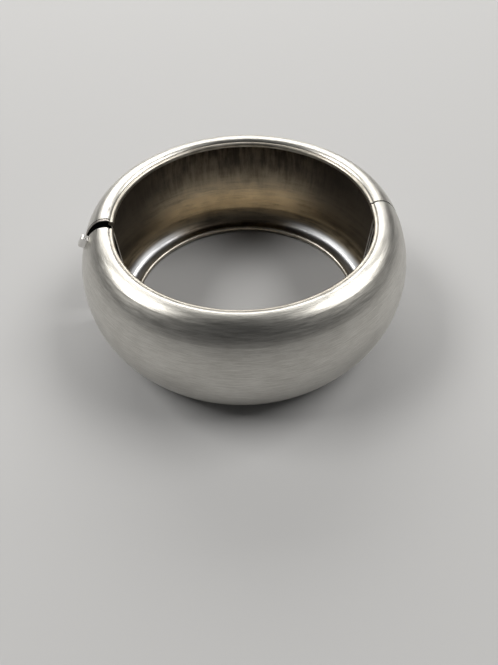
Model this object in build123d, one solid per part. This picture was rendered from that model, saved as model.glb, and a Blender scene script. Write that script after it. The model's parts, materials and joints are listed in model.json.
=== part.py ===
from build123d import *
import math
import os

# Hinged oval bangle, millimetres.  Origin: centre of the wrist opening, on the plane that the
# bangle rests on.  +X points to the hinge, -X to the clasp, +Y into the rear half, +Z up.

# Wrist opening and overall section
OPENING_LENGTH = 60.0  # hinge to clasp
OPENING_WIDTH = 55.0  # front to rear
HEIGHT = 31.75
DOME_DEPTH = 10.1  # from the edge of the wrist opening to the crest of the dome
SHEET = 0.8  # wall of the stamped half shells
FLAT_NEAR = 1.8  # narrow flat at the top and bottom, from the edge of the wrist opening
FLAT_FAR = 2.2
ROLL_RADIUS = 1.3  # the sheet rolls in from the flat towards the wrist
ROLL_ANGLE = 65.0
CROWN_RADIUS = 3.8  # first arc from the flat out to the dome
CROWN_ANGLE = 38.0
SHOULDER_ANGLE = 25.0  # the crest takes what is left of the quarter turn
END_CENTRE = 4.0  # how far the centres of the two end arcs stand off the middle

# Rim wires, soldered along the rolled edges of the shells
WIRE_RADIUS = 0.65
WIRE_DROP = 1.15  # from the top or bottom of the bangle to the wire's centre
GROOVE_RADIUS = 0.13  # fine groove between wire and sheet
GROOVE_ANGLE = 80.0  # its place on the wire, from level

# Seams
HINGE_GAP = 0.15  # from the middle of the seam to each half
AJAR = 1.05  # degrees that the front half stands open at rest, latched
END_PLATE = 0.8
CLASP_FACE = 0.85  # from the middle of the seam to the rear half's clasp end
CAP_PLATE = 0.8  # plate over the rear half's clasp end
CAP_BEVEL = 0.14
CAP_GROOVE = 0.25  # depth of the open joint line between the cap plate and the shell
CAP_GROOVE_WIDTH = 0.4

# Hinge
HINGE_X = 39.2
KNUCKLE_RADIUS = 1.05
KNUCKLE_COUNT = 5
KNUCKLE_GAP = 0.1
BARREL_LENGTH = 11.6
PIN_RADIUS = 0.45
PIN_CLEARANCE = 0.05  # radial, in the front half's knuckles
PIN_HEAD_RADIUS = 0.75
PIN_HEAD_HEIGHT = 0.4
POCKET_RADIUS = 1.3  # relief in the shells around the other half's knuckles
POCKET_LENGTH = 14.0

# Clasp: a V-spring tongue on the rear half enters a guide in the front half, under the
# shoulder of the dome.  Depths are measured inward from the dome's outer face.
CLASP_SLOPE = 56.4  # tilt of the dome's surface at the clasp, from level
TONGUE_WIDTH = 4.0
TONGUE_DEPTH = 3.65
SPRING_SHEET = 0.4
FOLD_Y = -8.2
FOLD_RADIUS = 0.5
LEAF_END_Y = -1.45
LEAF_END_DEPTH = 1.3
LEAF_GAP = 0.05
FOOT_LENGTH = 1.4
FOOT_HALF_WIDTH = 1.7
TAB_WIDTH = 2.6
TAB_NEAR_Y = -3.1
TAB_FAR_Y = -1.6
TAB_HEIGHT = 1.45
TAB_ROUND = 0.4
GUIDE_SHEET = 0.35
GUIDE_CLEARANCE = 0.35
GUIDE_FLOOR_CLEARANCE = 0.3
GUIDE_END_Y = -10.6
GUIDE_REACH = 1.35  # nearest that the guide comes to the edge of the wrist opening
GUIDE_HEADROOM = 2.2  # kept under the rolled rim and its wire
NOTCH_STOP_GAP = 0.1
NOTCH_UPPER_GAP = 0.25
NOTCH_LOWER_GAP = 0.8

# Worked out from the above
HALF_LENGTH = OPENING_LENGTH / 2
HALF_WIDTH = OPENING_WIDTH / 2
MID_Z = HEIGHT / 2
DOME_REACH = DOME_DEPTH - FLAT_FAR
OVAL = HALF_LENGTH - HALF_WIDTH
SIDE_CENTRE = OVAL * (2 * END_CENTRE - OVAL) / (2 * (END_CENTRE - OVAL))
END_RADIUS = HALF_LENGTH - END_CENTRE
SIDE_RADIUS = HALF_WIDTH + SIDE_CENTRE
JOIN_ANGLE = math.degrees(math.atan2(SIDE_CENTRE, END_CENTRE))
HINGE_AXIS = Axis((HINGE_X, 0, 0), (0, 0, 1))
FAR = 100.0  # larger than the bangle, for cutting blocks


def dome_radii():
    """Radii of the crown, shoulder and crest arcs, so that the dome is as deep and high as stated."""
    crown = math.radians(CROWN_ANGLE)
    shoulder = math.radians(CROWN_ANGLE + SHOULDER_ANGLE)
    reach = DOME_REACH - CROWN_RADIUS * math.sin(crown)
    rise = MID_Z - CROWN_RADIUS * (1 - math.cos(crown))
    across = math.sin(shoulder) - math.sin(crown)
    up = math.cos(crown) - math.cos(shoulder)
    determinant = across * math.cos(shoulder) - (1 - math.sin(shoulder)) * up
    shoulder_radius = (reach * math.cos(shoulder) - (1 - math.sin(shoulder)) * rise) / determinant
    crest_radius = (across * rise - up * reach) / determinant
    return CROWN_RADIUS, shoulder_radius, crest_radius


def tangent_arcs(inset, turns):
    """A chain of tangent arcs from the lower flat, each given as its radius and its turn."""
    arcs = []
    point, direction = (FLAT_FAR, inset), (1, 0)
    for radius, turn in turns:
        arcs.append(JernArc(point, direction, radius - inset, turn))
        point, direction = arcs[-1] @ 1, arcs[-1] % 1
    return arcs


def dome_curve(inset=0.0):
    """The dome from the lower flat over its crest to the upper one."""
    crown, shoulder, crest = dome_radii()
    crest_turn = 180 - 2 * (CROWN_ANGLE + SHOULDER_ANGLE)
    sides = [(crown, CROWN_ANGLE), (shoulder, SHOULDER_ANGLE)]
    return tangent_arcs(inset, sides + [(crest, crest_turn)] + sides[::-1])


def sheet_curve(inset=0.0):
    """Face of the sheet from its lower rolled edge, over the dome, to its upper one."""
    roll = math.radians(ROLL_ANGLE)
    radius = ROLL_RADIUS - inset
    start = (FLAT_NEAR - radius * math.sin(roll), ROLL_RADIUS - radius * math.cos(roll))
    top = HEIGHT - inset
    return [
        JernArc(start, (math.cos(roll), -math.sin(roll)), radius, ROLL_ANGLE),
        Line((FLAT_NEAR, inset), (FLAT_FAR, inset)),
        *dome_curve(inset),
        Line((FLAT_FAR, top), (FLAT_NEAR, top)),
        JernArc((FLAT_NEAR, top), (-1, 0), radius, ROLL_ANGLE),
    ]


def wire_circle(height):
    return Pos(WIRE_RADIUS, height) * Circle(WIRE_RADIUS)


def shell_section():
    """C-shaped section of the stamped sheet, its rolled edges hollowed to take the rim wires."""
    outer, inner = sheet_curve(), sheet_curve(SHEET)
    edges = [Line(outer[0] @ 0, inner[0] @ 0), Line(outer[-1] @ 1, inner[-1] @ 1)]
    section = make_face(outer + inner + edges)
    groove = math.radians(GROOVE_ANGLE)
    groove_width = WIRE_RADIUS * (1 + math.cos(groove))
    groove_drop = WIRE_DROP - WIRE_RADIUS * math.sin(groove)
    for wire_height, groove_height in (
        (WIRE_DROP, groove_drop),
        (HEIGHT - WIRE_DROP, HEIGHT - groove_drop),
    ):
        section -= wire_circle(wire_height)
        section -= Pos(groove_width, groove_height) * Circle(GROOVE_RADIUS)
    return section


def hollow_section():
    """The space inside the dome, closed on the wrist side in line with the flats."""
    return make_face(dome_curve(SHEET) + [Line((FLAT_FAR, HEIGHT - SHEET), (FLAT_FAR, SHEET))])


def guide_section():
    """The hollow, with the space towards the wrist that the clasp's guide reaches into."""
    low, high = GUIDE_REACH, FLAT_FAR + SHEET
    wrist_side = Rectangle(high - low, HEIGHT - 2 * GUIDE_HEADROOM)
    return hollow_section() + Pos((low + high) / 2, MID_Z) * wrist_side


def cap_section(inset):
    """Outline of the plate over the rear half's clasp end."""
    outline = sheet_curve(inset)
    return make_face(outline + [Line(outline[-1] @ 1, outline[0] @ 0)])


def half_oval(section):
    """Run a section around the rear half of the oval: two end arcs and a flatter side arc."""
    side_span = 180 - 2 * JOIN_ANGLE
    arcs = [
        CenterArc((END_CENTRE, 0), END_RADIUS, 0, JOIN_ANGLE),
        CenterArc((0, -SIDE_CENTRE), SIDE_RADIUS, JOIN_ANGLE, side_span),
        CenterArc((-END_CENTRE, 0), END_RADIUS, 180 - JOIN_ANGLE, JOIN_ANGLE),
    ]
    start = Plane(origin=(HALF_LENGTH, 0, 0), x_dir=(1, 0, 0), z_dir=(0, -1, 0))
    return sweep(start * section, path=Wire([arc.edge() for arc in arcs]))


def block(low, high):
    """A box between two corners."""
    size = [b - a for a, b in zip(low, high)]
    centre = [(a + b) / 2 for a, b in zip(low, high)]
    return Pos(*centre) * Box(*size)


def beyond_seam(clasp_gap, hinge_gap=HINGE_GAP):
    """Everything on the rear half's side of its two end planes."""
    clasp_side = block((-FAR, clasp_gap, -FAR), (0, FAR, FAR))
    hinge_side = block((0, hinge_gap, -FAR), (FAR, FAR, FAR))
    return clasp_side + hinge_side


def to_front(shape):
    """Mirror a rear piece into the front half, standing ajar about the hinge."""
    return mirror(shape, Plane.XZ).rotate(HINGE_AXIS, AJAR)


# Hinge ---------------------------------------------------------------------------------------

KNUCKLE_PITCH = BARREL_LENGTH / KNUCKLE_COUNT
BARREL_BOTTOM = MID_Z - BARREL_LENGTH / 2


def hinge_cylinder(radius, bottom, top):
    middle = (bottom + top) / 2
    return Pos(HINGE_X, 0, middle) * Cylinder(radius, top - bottom)


def knuckle_span(index):
    bottom = BARREL_BOTTOM + index * KNUCKLE_PITCH
    return bottom + KNUCKLE_GAP / 2, bottom + KNUCKLE_PITCH - KNUCKLE_GAP / 2


def knuckle(index):
    """Even knuckles grip the pin and belong to the rear half, odd ones turn on it."""
    bore = PIN_RADIUS + PIN_CLEARANCE * (index % 2)
    bottom, top = knuckle_span(index)
    return hinge_cylinder(KNUCKLE_RADIUS, bottom, top) - hinge_cylinder(bore, bottom, top)


def cut_around_barrel(shape, own_remainder):
    """Seats for a half's own knuckles, and pockets around the rest of the barrel."""
    low = MID_Z - POCKET_LENGTH / 2
    for index in range(own_remainder, KNUCKLE_COUNT, 2):
        bottom, top = knuckle_span(index)
        shape -= hinge_cylinder(POCKET_RADIUS, low, bottom)
        shape -= hinge_cylinder(KNUCKLE_RADIUS, bottom, top)
        low = top
    return shape - hinge_cylinder(POCKET_RADIUS, low, MID_Z + POCKET_LENGTH / 2)


def hinge_pin():
    """Wire through all five knuckles, with a peened head on each end."""
    bottom, top = knuckle_span(0)[0], knuckle_span(KNUCKLE_COUNT - 1)[1]
    pin = hinge_cylinder(PIN_RADIUS, bottom, top)
    for low, outer_rim in ((bottom - PIN_HEAD_HEIGHT, 0), (top, -1)):
        head = hinge_cylinder(PIN_HEAD_RADIUS, low, low + PIN_HEAD_HEIGHT)
        rims = head.edges().filter_by(GeomType.CIRCLE).sort_by(Axis.Z)
        pin += fillet(rims[outer_rim], PIN_HEAD_HEIGHT * 0.8)
    return pin


# Clasp ---------------------------------------------------------------------------------------


def clasp_plane():
    """Local frame on the dome's shoulder: x up the slope, y as the world's, z out of the dome."""
    crown, shoulder, _ = dome_radii()
    turns = [(crown, CROWN_ANGLE), (shoulder, CLASP_SLOPE - CROWN_ANGLE)]
    lower_point = tangent_arcs(0, turns)[-1] @ 1
    slope = math.radians(CLASP_SLOPE)
    origin = (-HALF_LENGTH - lower_point.X, 0, HEIGHT - lower_point.Y)
    outward = (-math.sin(slope), 0, math.cos(slope))
    return Plane(origin=origin, x_dir=(math.cos(slope), 0, math.sin(slope)), z_dir=outward)


CLASP = clasp_plane()


def clasp_block(half_width, y_span, depth_span, lower_half_width=None):
    """A box in the clasp's frame.  Depths are positive into the dome."""
    low_x = -(half_width if lower_half_width is None else lower_half_width)
    low = (low_x, y_span[0], -depth_span[1])
    high = (half_width, y_span[1], -depth_span[0])
    return CLASP * block(low, high)


def tongue_strip(end_y):
    """The lower leaf as a straight strip from the fold."""
    depths = (TONGUE_DEPTH - SPRING_SHEET / 2, TONGUE_DEPTH + SPRING_SHEET / 2)
    return clasp_block(TONGUE_WIDTH / 2, (FOLD_Y, end_y), depths)


def clasp_tongue():
    """Lower leaf of the V-spring, through the cap plate, with a foot soldered behind it."""
    plate_back = CLASP_FACE + CAP_PLATE
    back = plate_back + SPRING_SHEET
    foot_depths = (TONGUE_DEPTH - SPRING_SHEET / 2, TONGUE_DEPTH + SPRING_SHEET / 2 + FOOT_LENGTH)
    return tongue_strip(back) + clasp_block(FOOT_HALF_WIDTH, (plate_back, back), foot_depths)


def leaf_path_angle():
    """Slope of the spring leaf, tangent to the fold and ending under the thumb tab."""
    run = LEAF_END_Y - FOLD_Y
    rise = TONGUE_DEPTH - FOLD_RADIUS - LEAF_END_DEPTH
    return math.degrees(math.atan2(rise, run) - math.asin(FOLD_RADIUS / math.hypot(run, rise)))


def spring_leaf():
    """Upper leaf of the V-spring with the fold at its tip, drawn side-on and extruded."""
    slope = leaf_path_angle()
    inner, outer = FOLD_RADIUS - SPRING_SHEET / 2, FOLD_RADIUS + SPRING_SHEET / 2
    rise = TONGUE_DEPTH - FOLD_RADIUS - LEAF_END_DEPTH
    length = math.sqrt((LEAF_END_Y - FOLD_Y) ** 2 + rise**2 - FOLD_RADIUS**2)
    fold = Circle(outer) - Circle(inner) - Pos(FAR / 2 - LEAF_GAP, 0) * Rectangle(FAR, FAR)
    quarter = Circle(outer) - Circle(inner)
    quarter &= Rot(0, 0, slope) * Pos(-outer, outer) * Rectangle(2 * outer, 2 * outer)
    strip = Rot(0, 0, slope) * Pos(length / 2, FOLD_RADIUS) * Rectangle(length, SPRING_SHEET)
    outline = fold + quarter + strip
    fold_point = CLASP.from_local_coords(Vector(0, FOLD_Y, FOLD_RADIUS - TONGUE_DEPTH))
    side_view = Plane(origin=fold_point, x_dir=(0, 1, 0), z_dir=CLASP.x_dir)
    return extrude(side_view * outline, TONGUE_WIDTH / 2, both=True)


def thumb_tab(leaf):
    """Small rounded thumb piece soldered on the free end of the spring leaf."""
    half = TAB_WIDTH / 2
    local = block((-half, TAB_NEAR_Y, -LEAF_END_DEPTH), (half, TAB_FAR_Y, TAB_HEIGHT))
    top_edges = local.edges().group_by(Axis.Z)[-1]
    return CLASP * fillet(top_edges, TAB_ROUND) - leaf


def guide_envelope():
    """Outside of the U-shaped guide, reaching past the dome so that the wall closes it."""
    floor = TONGUE_DEPTH + SPRING_SHEET / 2 + GUIDE_FLOOR_CLEARANCE
    half = TONGUE_WIDTH / 2 + GUIDE_CLEARANCE + GUIDE_SHEET
    return clasp_block(half, (GUIDE_END_Y, FAR), (-FAR, floor + GUIDE_SHEET))


def clasp_guide(front_hollow):
    """Folded channel that takes the tongue, soldered to the inside of the front shell."""
    floor = TONGUE_DEPTH + SPRING_SHEET / 2 + GUIDE_FLOOR_CLEARANCE
    half = TONGUE_WIDTH / 2 + GUIDE_CLEARANCE
    inside = clasp_block(half, (-FAR, FAR), (-FAR, floor))
    return (guide_envelope() & front_hollow) - inside


def tab_notch():
    """Open notch in the front shell's edge that the thumb tab stands in."""
    half = TAB_WIDTH / 2
    return clasp_block(
        half + NOTCH_UPPER_GAP,
        (TAB_NEAR_Y - NOTCH_STOP_GAP, FAR),
        (-FAR, LEAF_END_DEPTH),
        lower_half_width=half + NOTCH_LOWER_GAP,
    )


# Shells, wires and plates --------------------------------------------------------------------


def end_slab(clasp_side, near, far):
    """Slab across one end, for the plates that close it."""
    low_x, high_x = (-FAR, 0) if clasp_side else (0, FAR)
    return block((low_x, near, -FAR), (high_x, far, FAR))


def cap_outline(distance, inset):
    """The cap plate's outline, standing at a distance behind its face."""
    origin = (-HALF_LENGTH, CLASP_FACE + distance, 0)
    upright = Plane(origin=origin, x_dir=(-1, 0, 0), z_dir=(0, 1, 0))
    return upright * cap_section(inset)


def clasp_cap_plate(wires):
    """Plate soldered over the rear half's clasp end: bevelled face, body, and joint groove."""
    plate = loft([cap_outline(0, CAP_BEVEL), cap_outline(CAP_BEVEL, 0)], ruled=True)
    plate += extrude(cap_outline(CAP_BEVEL, 0), CAP_PLATE - CAP_GROOVE_WIDTH - CAP_BEVEL)
    plate += extrude(cap_outline(CAP_BEVEL, CAP_GROOVE), CAP_PLATE - CAP_BEVEL)
    for wire in wires:
        plate -= wire
    return plate - tongue_strip(FAR)


def clasp_end_plate(hollow, slab):
    """Plate inside the front half's clasp end, cut away for the guide and everything above it."""
    pieces = to_front(hollow & slab) - guide_envelope()
    return pieces.solids().sort_by(SortBy.VOLUME)[-1]


def build_parts():
    shell = half_oval(shell_section())
    hollow = half_oval(hollow_section())
    guide_space = half_oval(guide_section())
    wires = {
        "bottom": half_oval(wire_circle(WIRE_DROP)),
        "top": half_oval(wire_circle(HEIGHT - WIRE_DROP)),
    }
    hinge_slab = end_slab(False, HINGE_GAP, HINGE_GAP + END_PLATE)
    clasp_slab = end_slab(True, HINGE_GAP, HINGE_GAP + END_PLATE)
    leaf = spring_leaf()
    guide = clasp_guide(to_front(guide_space & beyond_seam(HINGE_GAP)))

    hinge_plate = hollow & hinge_slab

    parts = {
        "rear_shell": cut_around_barrel(shell & beyond_seam(CLASP_FACE + CAP_PLATE), 0),
        "rear_hinge_end_plate": cut_around_barrel(hinge_plate, 0),
        "rear_clasp_cap_plate": clasp_cap_plate(wires.values()),
        "hinge_pin": hinge_pin(),
        "clasp_tongue": clasp_tongue(),
        "clasp_spring_leaf": leaf,
        "clasp_thumb_tab": thumb_tab(leaf),
        "front_shell": to_front(cut_around_barrel(shell & beyond_seam(HINGE_GAP), 1)) - tab_notch(),
        "front_hinge_end_plate": to_front(cut_around_barrel(hinge_plate, 1)),
        "front_clasp_end_plate": clasp_end_plate(hollow, clasp_slab),
        "clasp_guide": guide,
    }
    for place, wire in wires.items():
        parts[f"rear_rim_wire_{place}"] = wire & beyond_seam(CLASP_FACE, HINGE_GAP)
        parts[f"front_rim_wire_{place}"] = to_front(wire & beyond_seam(HINGE_GAP))
    for index in range(KNUCKLE_COUNT):
        half = ("rear", "front")[index % 2]
        parts[f"{half}_hinge_knuckle_{index + 1}"] = knuckle(index)
    return parts


def main():
    os.makedirs("parts", exist_ok=True)
    for name, shape in build_parts().items():
        shape.label = name
        export_step(shape, f"parts/{name}.step")
        print(name, len(shape.solids()), round(shape.volume, 3))


main()
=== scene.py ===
import json
import math

import bpy
from mathutils import Matrix, Vector


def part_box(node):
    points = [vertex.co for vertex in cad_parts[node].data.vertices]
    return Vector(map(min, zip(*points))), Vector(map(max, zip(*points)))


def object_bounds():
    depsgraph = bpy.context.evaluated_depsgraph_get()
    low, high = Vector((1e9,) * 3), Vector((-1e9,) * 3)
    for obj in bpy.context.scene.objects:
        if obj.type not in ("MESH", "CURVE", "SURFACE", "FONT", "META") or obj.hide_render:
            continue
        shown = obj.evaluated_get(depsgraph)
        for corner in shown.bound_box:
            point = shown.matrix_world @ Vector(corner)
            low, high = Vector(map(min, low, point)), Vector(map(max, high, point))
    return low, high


# Hinged oval bangle in brushed metal, in the row's frame, metres: the clasp is at -X, the hinge
# at +X, the rear half at +Y, and the bangle stands on z = 0.

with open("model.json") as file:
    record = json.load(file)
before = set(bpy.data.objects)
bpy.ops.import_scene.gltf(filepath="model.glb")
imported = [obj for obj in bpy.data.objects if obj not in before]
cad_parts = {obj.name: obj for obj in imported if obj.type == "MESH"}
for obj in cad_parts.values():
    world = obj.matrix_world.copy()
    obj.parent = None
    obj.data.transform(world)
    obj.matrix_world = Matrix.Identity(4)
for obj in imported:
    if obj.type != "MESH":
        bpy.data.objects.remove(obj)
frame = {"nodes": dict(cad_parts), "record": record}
cad_low, cad_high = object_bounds()
HEIGHT = cad_high.z

# The oval wrist opening: its edge stands OVAL_MEAN + OVAL_SWING * cos(2 * angle) from the middle
RIM_WIRE = 0.0013  # its diameter
opening_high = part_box("rear_rim_wire_top")[1]
HALF_LENGTH = opening_high.x - RIM_WIRE
HALF_WIDTH = opening_high.y - RIM_WIRE
OVAL_MEAN = (HALF_LENGTH + HALF_WIDTH) / 2
OVAL_SWING = (HALF_LENGTH - HALF_WIDTH) / 2
SECTION_MIDDLE = 0.0045  # from the opening's edge to the middle of the hollow section
GROOVE = 0.00077  # from the opening's edge to the line between rim wire and sheet

# Camera: metres and degrees, with its lens in millimetres on a sensor CAMERA_SENSOR wide
CAMERA_PLACE = (-0.00863, -0.08953, 0.10861)
CAMERA_HEADING = -6.12
CAMERA_DOWN = 54.19
CAMERA_ROLL = -0.56
CAMERA_LENS = 26.88
CAMERA_SENSOR = 36.0
CAMERA_CLIP = (0.005, 20.0)

# Light and floor.  A box stands at an azimuth (0 is +Y, 90 is +X) and an elevation in degrees.
WARM_WHITE = (1.0, 0.985, 0.95)
BOX_DISTANCE = 1.0
SOFT_BOXES = {
    # name: azimuth, elevation, (width, height) in metres, watts
    "rear_box": (0, 34, (0.95, 0.42), 5.4),
    "left_box": (-72, 52, (0.5, 0.30), 5.2),
    "right_box": (80, 54, (0.6, 0.4), 5.8),
}
BOX_TARGET = (0, 0, 0.016)
WORLD_COLOUR = (0.97, 0.98, 1.0, 1)
WORLD_STRENGTH = 0.045
FLOOR_SIZE = 3.0
FLOOR_COLOUR = (0.5, 0.5, 0.505, 1)
FLOOR_ROUGHNESS = 0.85


# Node helpers --------------------------------------------------------------------------------


class Graph:
    """Short forms for building a material's nodes."""

    def __init__(self, name):
        self.material = bpy.data.materials.new(name)
        self.material.use_nodes = True
        self.tree = self.material.node_tree
        self.shader = self.tree.nodes["Principled BSDF"]

    def node(self, kind, inputs=None, **settings):
        made = self.tree.nodes.new(kind)
        for key, value in settings.items():
            setattr(made, key, value)
        for key, value in (inputs or {}).items():
            self.put(made.inputs[key], value)
        return made

    def put(self, socket, value):
        if isinstance(value, bpy.types.NodeSocket):
            self.tree.links.new(value, socket)
        else:
            socket.default_value = value

    def math(self, operation, *values):
        made = self.node("ShaderNodeMath", operation=operation)
        for socket, value in zip(made.inputs, values):
            self.put(socket, value)
        return made.outputs[0]

    def vector_math(self, operation, *values):
        made = self.node("ShaderNodeVectorMath", operation=operation)
        for socket, value in zip(made.inputs, values):
            self.put(socket, value)
        return made.outputs["Value" if operation == "DOT_PRODUCT" else "Vector"]

    def combine(self, x, y, z):
        return self.node("ShaderNodeCombineXYZ", {0: x, 1: y, 2: z}).outputs[0]

    def ramp(self, value, low, high, to_low=0.0, to_high=1.0):
        """Smooth step from to_low at the low value to to_high at the high one."""
        inputs = {0: value, 1: low, 2: high, 3: to_low, 4: to_high}
        return self.node("ShaderNodeMapRange", inputs, interpolation_type="SMOOTHSTEP").outputs[0]

    def noise(self, vector, scale, detail=3.0, roughness=0.5):
        inputs = {"Vector": vector, "Scale": scale, "Detail": detail, "Roughness": roughness}
        return self.node("ShaderNodeTexNoise", inputs).outputs[0]

    def mix_values(self, factor, first, second):
        """Mix two numbers."""
        return self.node("ShaderNodeMix", {0: factor, 2: first, 3: second}).outputs[0]

    def mix(self, factor, first, second):
        """Mix two colours."""
        made = self.node("ShaderNodeMix", data_type="RGBA")
        self.put(made.inputs[0], factor)
        self.put(made.inputs[6], first)
        self.put(made.inputs[7], second)
        return made.outputs[2]

    def bump(self, height, distance, strength):
        inputs = {"Height": height, "Distance": distance, "Strength": strength}
        return self.node("ShaderNodeBump", inputs).outputs[0]


class Place:
    """Where a shaded point is: x, y, height, depth from the opening's edge, distance along it."""

    def __init__(self, graph):
        coordinates = graph.node("ShaderNodeTexCoord")
        self.point = coordinates.outputs["Object"]
        self.normal = coordinates.outputs["Normal"]
        split = graph.node("ShaderNodeSeparateXYZ", {0: self.point})
        self.x, self.y, self.z = split.outputs
        angle = graph.math("ARCTAN2", self.y, self.x)
        y_squared = graph.math("MULTIPLY", self.y, self.y)
        radius = graph.math("SQRT", graph.math("MULTIPLY_ADD", self.x, self.x, y_squared))
        swing = graph.math("COSINE", graph.math("MULTIPLY", angle, 2.0))
        edge = graph.math("MULTIPLY_ADD", swing, OVAL_SWING, OVAL_MEAN)
        self.depth = graph.math("SUBTRACT", radius, edge)
        self.along = graph.math("MULTIPLY", angle, OVAL_MEAN)


def around(graph, place):
    """Unit vector round the bangle, in the object's own axes."""
    turned = graph.combine(graph.math("MULTIPLY", place.y, -1.0), place.x, 0.0)
    return graph.vector_math("NORMALIZE", turned)


def inside_mask(graph, place):
    """1 where a shell's face looks into its own hollow, 0 outside."""
    outward = graph.vector_math("NORMALIZE", graph.combine(place.x, place.y, 0.0))
    from_middle = graph.math("SUBTRACT", place.depth, SECTION_MIDDLE)
    rise = graph.math("SUBTRACT", place.z, HEIGHT / 2)
    scaled = graph.node("ShaderNodeVectorMath", {0: outward, 3: from_middle}, operation="SCALE")
    away = graph.vector_math("ADD", scaled.outputs[0], graph.combine(0.0, 0.0, rise))
    facing = graph.vector_math("DOT_PRODUCT", place.normal, away)
    return graph.math("LESS_THAN", facing, 0.0)


def highlight_spread(graph, place, inside=0.0):
    """World direction that highlights spread in: up the dome outside, round the bangle inside."""
    outside = graph.vector_math("CROSS_PRODUCT", place.normal, around(graph, place))
    directions = {0: inside, 4: outside, 5: around(graph, place)}
    chosen = graph.node("ShaderNodeMix", directions, data_type="VECTOR").outputs[1]
    spaces = {"convert_from": "OBJECT", "convert_to": "WORLD"}
    turned = graph.node("ShaderNodeVectorTransform", {0: chosen}, vector_type="VECTOR", **spaces)
    return turned.outputs[0]


# Materials -----------------------------------------------------------------------------------

OUTSIDE_COLOUR = (0.68, 0.665, 0.625, 1)
OUTSIDE_DARK = (0.46, 0.445, 0.41, 1)
OUTSIDE_ROUGHNESS = (0.31, 0.38)
INSIDE_COLOUR = (0.42, 0.35, 0.265, 1)
INSIDE_DARK = (0.14, 0.115, 0.09, 1)
INSIDE_ROUGHNESS = (0.34, 0.48)
SHEET_ANISOTROPY = 0.6
SCRATCH_DEPTH = 0.000012
DRAWN_DEPTH = 0.00001  # of the lines on the small pieces

# Noises: scale, detail and roughness.  Each stretch is how much shorter a length counts.
HAIRLINES, HAIRLINE_STRETCH = (7000, 4.0, 0.75), 0.05
SCUFFS, SCUFF_STRETCH = (2600, 4.0, 0.65), 0.10
OUTSIDE_CLOUDS = (110, 4.0)
STREAKS, STREAK_STRETCH = (1100, 5.0, 0.65), 0.1
BANDS, BAND_STRETCH = (900, 4.0, 0.6), 0.12
BANDS_FADE_UP = (0.008, 0.018)
STAINS = (150, 5.0, 0.6)
DRAWN_STRETCH = 0.06
SMALL_CLOUDS = 400

# Heights and distances from x = 0, each as where a change begins and ends, in metres
INSIDE_HIGHLIGHT_COLOUR = (0.80, 0.68, 0.49, 1)  # painted highlight on the inside, below the middle, standing in for a reflection of the light
INSIDE_HIGHLIGHT_STARTS = (0.0012, 0.004)
INSIDE_HIGHLIGHT_FADES_UP = (0.008, 0.019)
SHADE_COLOUR = (0.075, 0.062, 0.05, 1)  # painted shade inside, towards the clasp and the hinge
SHADE_AMOUNT = 0.85
SHADE_STARTS = (0.003, 0.006)
SHADE_RISES = (0.014, 0.029)
TROUGH_TONE_AND_REFLECTION = (0.58, 0.59, 0.61, 1)  # above the lower rim inside, towards the two ends: partly the metal's own lighter tone, partly painted reflection
TROUGH_FADES_UP = (0.0018, 0.0030)
TROUGH_RISES = (0.013, 0.022)
# Painted shade in the groove between rim wire and sheet.
GROOVE_SHADE_COLOUR = (0.16, 0.15, 0.13, 1)
GROOVE_REACH = 0.0002
GROOVE_SHADE_AMOUNT = 0.4
END_FACE_SHADE_COLOUR = (0.03, 0.028, 0.025, 1)  # painted shade on the end faces of the halves, which sit in shadow
SHADED_END_SLOTS = ("end_plate",)  # the slots that have them


def run_round(graph, place, stretch):
    """Coordinates that draw a noise out into lines round the bangle."""
    return graph.combine(graph.math("MULTIPLY", place.along, stretch), place.depth, place.z)


def outside_tone(graph, place):
    """Brushing round the bangle: hairlines, longer scuffs and uneven patches, from 0 to 1."""
    hairlines = graph.noise(run_round(graph, place, HAIRLINE_STRETCH), *HAIRLINES)
    scuffs = graph.noise(run_round(graph, place, SCUFF_STRETCH), *SCUFFS)
    clouds = graph.noise(place.point, *OUTSIDE_CLOUDS)
    brushed = graph.math("MULTIPLY_ADD", hairlines, 0.6, graph.math("MULTIPLY", scuffs, 0.2))
    return hairlines, scuffs, graph.math("MULTIPLY_ADD", clouds, 0.2, brushed)


def inside_tone(graph, place):
    """Unpolished inside: streaks up and down, bands round it towards the bottom, and stains."""
    depth = graph.math("MULTIPLY", place.depth, STREAK_STRETCH)
    height = graph.math("MULTIPLY", place.z, STREAK_STRETCH)
    streaks = graph.noise(graph.combine(place.along, depth, height), *STREAKS)
    bands = graph.noise(run_round(graph, place, BAND_STRETCH), *BANDS)
    low = graph.ramp(place.z, *BANDS_FADE_UP, 1.0, 0.0)
    lines = graph.mix_values(low, streaks, bands)
    stains = graph.noise(place.point, *STAINS)
    return lines, graph.math("MULTIPLY_ADD", lines, 0.6, graph.math("MULTIPLY", stains, 0.4))


def outside_colour(graph, tone):
    return graph.mix(graph.ramp(tone, 0.36, 0.62), OUTSIDE_DARK, OUTSIDE_COLOUR)


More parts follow.
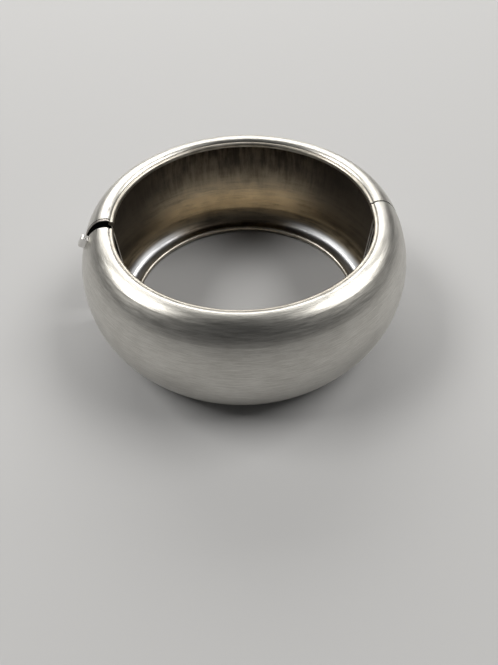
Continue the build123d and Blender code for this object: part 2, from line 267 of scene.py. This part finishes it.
def inside_colour(graph, place, tone):
    """Toned brown, with a painted highlight below the middle, painted shade in the ends, and a
    bright strip at the bottom towards the ends that is partly the metal's own tone and partly
    painted reflection.
    """
    colour = graph.mix(graph.ramp(tone, 0.38, 0.66), INSIDE_DARK, INSIDE_COLOUR)

    # Painted highlight: a lighter band below the middle of the inside, standing in for a
    # reflection.
    below = graph.ramp(place.z, *INSIDE_HIGHLIGHT_FADES_UP, 1.0, 0.0)
    above = graph.ramp(place.z, *INSIDE_HIGHLIGHT_STARTS)
    patchy = graph.ramp(tone, 0.3, 0.6, 0.35, 1.0)
    painted_highlight = graph.math("MULTIPLY", graph.math("MULTIPLY", below, above), patchy)
    colour = graph.mix(painted_highlight, colour, INSIDE_HIGHLIGHT_COLOUR)

    # Painted shade inside, darker towards the clasp and the hinge.
    from_middle = graph.math("ABSOLUTE", place.x)
    towards_ends = graph.ramp(from_middle, *SHADE_RISES, 0.0, SHADE_AMOUNT)
    off_trough = graph.ramp(place.z, *SHADE_STARTS)
    colour = graph.mix(graph.math("MULTIPLY", towards_ends, off_trough), colour, SHADE_COLOUR)

    # Partly the metal's own lighter tone, partly painted reflection, kept to the two ends.
    trough = graph.ramp(place.z, *TROUGH_FADES_UP, 1.0, 0.0)
    tone_and_reflection_at_ends = graph.math("MULTIPLY", trough, graph.ramp(from_middle, *TROUGH_RISES))
    return graph.mix(tone_and_reflection_at_ends, colour, TROUGH_TONE_AND_REFLECTION)


def brushed_sheet():
    """The half shells: brushed outside, toned and unpolished inside, painted shade as a dark line
    beside the wires.
    """
    graph = Graph("brushed_sheet")
    place = Place(graph)
    inside = inside_mask(graph, place)
    hairlines, scuffs, outer_tone = outside_tone(graph, place)
    lines, inner_tone = inside_tone(graph, place)

    outer, inner = outside_colour(graph, outer_tone), inside_colour(graph, place, inner_tone)
    colour = graph.mix(inside, outer, inner)
    # Painted shade: a dark line in the groove beside the wires.
    off_groove = graph.math("ABSOLUTE", graph.math("SUBTRACT", place.depth, GROOVE))
    groove_shade = graph.ramp(off_groove, 0.0, GROOVE_REACH, GROOVE_SHADE_AMOUNT, 0.0)
    graph.put(graph.shader.inputs["Base Color"], graph.mix(groove_shade, colour, GROOVE_SHADE_COLOUR))
    graph.shader.inputs["Metallic"].default_value = 1.0
    graph.shader.inputs["Anisotropic"].default_value = SHEET_ANISOTROPY

    outside_rough = graph.ramp(scuffs, 0.3, 0.7, *OUTSIDE_ROUGHNESS)
    inside_rough = graph.ramp(lines, 0.3, 0.7, *INSIDE_ROUGHNESS)
    rough = graph.mix_values(inside, outside_rough, inside_rough)
    graph.put(graph.shader.inputs["Roughness"], rough)
    graph.put(graph.shader.inputs["Tangent"], highlight_spread(graph, place, inside))
    outside_height = graph.math("MULTIPLY_ADD", scuffs, 0.6, hairlines)
    height = graph.mix_values(inside, outside_height, lines)
    graph.put(graph.shader.inputs["Normal"], graph.bump(height, SCRATCH_DEPTH, 0.7))
    return graph.material


def plain_metal(name, light, dark, roughness, anisotropy, scale):
    """Satin metal with drawn lines round the bangle and uneven tone, for the small pieces."""
    graph = Graph(name)
    place = Place(graph)
    lines = graph.noise(run_round(graph, place, DRAWN_STRETCH), scale)
    clouds = graph.noise(place.point, SMALL_CLOUDS)
    tone = graph.math("MULTIPLY_ADD", lines, 0.5, graph.math("MULTIPLY", clouds, 0.5))
    colour = graph.mix(graph.ramp(tone, 0.35, 0.65), dark, light)
    # Painted shade on the end faces, which sit in shadow in the gaps.
    if name in SHADED_END_SLOTS:
        sideways = graph.node("ShaderNodeSeparateXYZ", {0: place.normal}).outputs[1]
        shaded_end_face = graph.ramp(graph.math("ABSOLUTE", sideways), 0.8, 0.95)
        colour = graph.mix(shaded_end_face, colour, END_FACE_SHADE_COLOUR)
    rough = graph.ramp(lines, 0.3, 0.7, roughness - 0.05, roughness + 0.05)
    graph.put(graph.shader.inputs["Base Color"], colour)
    graph.shader.inputs["Metallic"].default_value = 1.0
    graph.shader.inputs["Anisotropic"].default_value = anisotropy
    graph.put(graph.shader.inputs["Roughness"], rough)
    graph.put(graph.shader.inputs["Tangent"], highlight_spread(graph, place))
    graph.put(graph.shader.inputs["Normal"], graph.bump(lines, DRAWN_DEPTH, 0.5))
    return graph.material


SMALL_PIECES = {
    # slot: light and dark colour, roughness, anisotropy, scale of the drawn lines
    "rim_wire": ((0.56, 0.53, 0.475, 1), (0.38, 0.35, 0.30, 1), 0.38, 0.3, 4000),
    "end_plate": ((0.70, 0.66, 0.61, 1), (0.50, 0.46, 0.41, 1), 0.36, 0.3, 3000),
    "hinge_metal": ((0.70, 0.68, 0.65, 1), (0.52, 0.50, 0.47, 1), 0.3, 0.3, 5000),
    "spring_strip": ((0.60, 0.58, 0.55, 1), (0.42, 0.40, 0.37, 1), 0.34, 0.4, 6000),
    "thumb_tab": ((0.82, 0.81, 0.79, 1), (0.68, 0.66, 0.63, 1), 0.2, 0.1, 6000),
    "guide_strip": ((0.50, 0.46, 0.41, 1), (0.34, 0.31, 0.27, 1), 0.4, 0.3, 5000),
}
MATERIALS = {"brushed_sheet": brushed_sheet()}
for slot, finish in SMALL_PIECES.items():
    MATERIALS[slot] = plain_metal(slot, *finish)


def dress_nodes():
    """Give every CAD node the material of its slot."""
    for subpart in frame["record"]["subparts"]:
        node = frame["nodes"][subpart["node"]]
        node.data.materials.clear()
        node.data.materials.append(MATERIALS[subpart["material_slot"]])


# Floor, light and camera ---------------------------------------------------------------------


def floor():
    bpy.ops.mesh.primitive_plane_add(size=FLOOR_SIZE)
    plane = bpy.context.object
    plane.name = "floor"
    graph = Graph("floor")
    graph.shader.inputs["Base Color"].default_value = FLOOR_COLOUR
    graph.shader.inputs["Roughness"].default_value = FLOOR_ROUGHNESS
    plane.data.materials.append(graph.material)


def soft_box(name, azimuth, elevation, size, power):
    """Rectangular light of the given width and height, aimed at the bangle."""
    turn, rise = math.radians(azimuth), math.radians(elevation)
    level = BOX_DISTANCE * math.cos(rise)
    place = Vector((level * math.sin(turn), level * math.cos(turn), BOX_DISTANCE * math.sin(rise)))
    data = bpy.data.lights.new(name, "AREA")
    data.shape = "RECTANGLE"
    data.size, data.size_y = size
    data.energy = power
    data.color = WARM_WHITE
    light = bpy.data.objects.new(name, data)
    light.location = place
    light.rotation_mode = "QUATERNION"
    light.rotation_quaternion = (Vector(BOX_TARGET) - place).to_track_quat("-Z", "Y")
    bpy.context.scene.collection.objects.link(light)


def lighting():
    world = bpy.data.worlds.new("studio")
    world.use_nodes = True
    background = world.node_tree.nodes["Background"]
    background.inputs["Color"].default_value = WORLD_COLOUR
    background.inputs["Strength"].default_value = WORLD_STRENGTH
    bpy.context.scene.world = world
    bpy.context.scene.view_settings.view_transform = "Standard"
    for name, box in SOFT_BOXES.items():
        soft_box(name, *box)


def camera():
    data = bpy.data.cameras.new("camera")
    data.lens = CAMERA_LENS
    data.sensor_width = CAMERA_SENSOR
    data.clip_start, data.clip_end = CAMERA_CLIP
    seen_from = bpy.data.objects.new("camera", data)
    turn = Matrix.Rotation(math.radians(CAMERA_HEADING), 4, "Z")
    tilt = Matrix.Rotation(math.radians(90 - CAMERA_DOWN), 4, "X")
    roll = Matrix.Rotation(math.radians(CAMERA_ROLL), 4, "Z")
    seen_from.matrix_world = Matrix.Translation(CAMERA_PLACE) @ turn @ tilt @ roll
    bpy.context.scene.collection.objects.link(seen_from)
    bpy.context.scene.camera = seen_from


dress_nodes()
floor()
lighting()
camera()
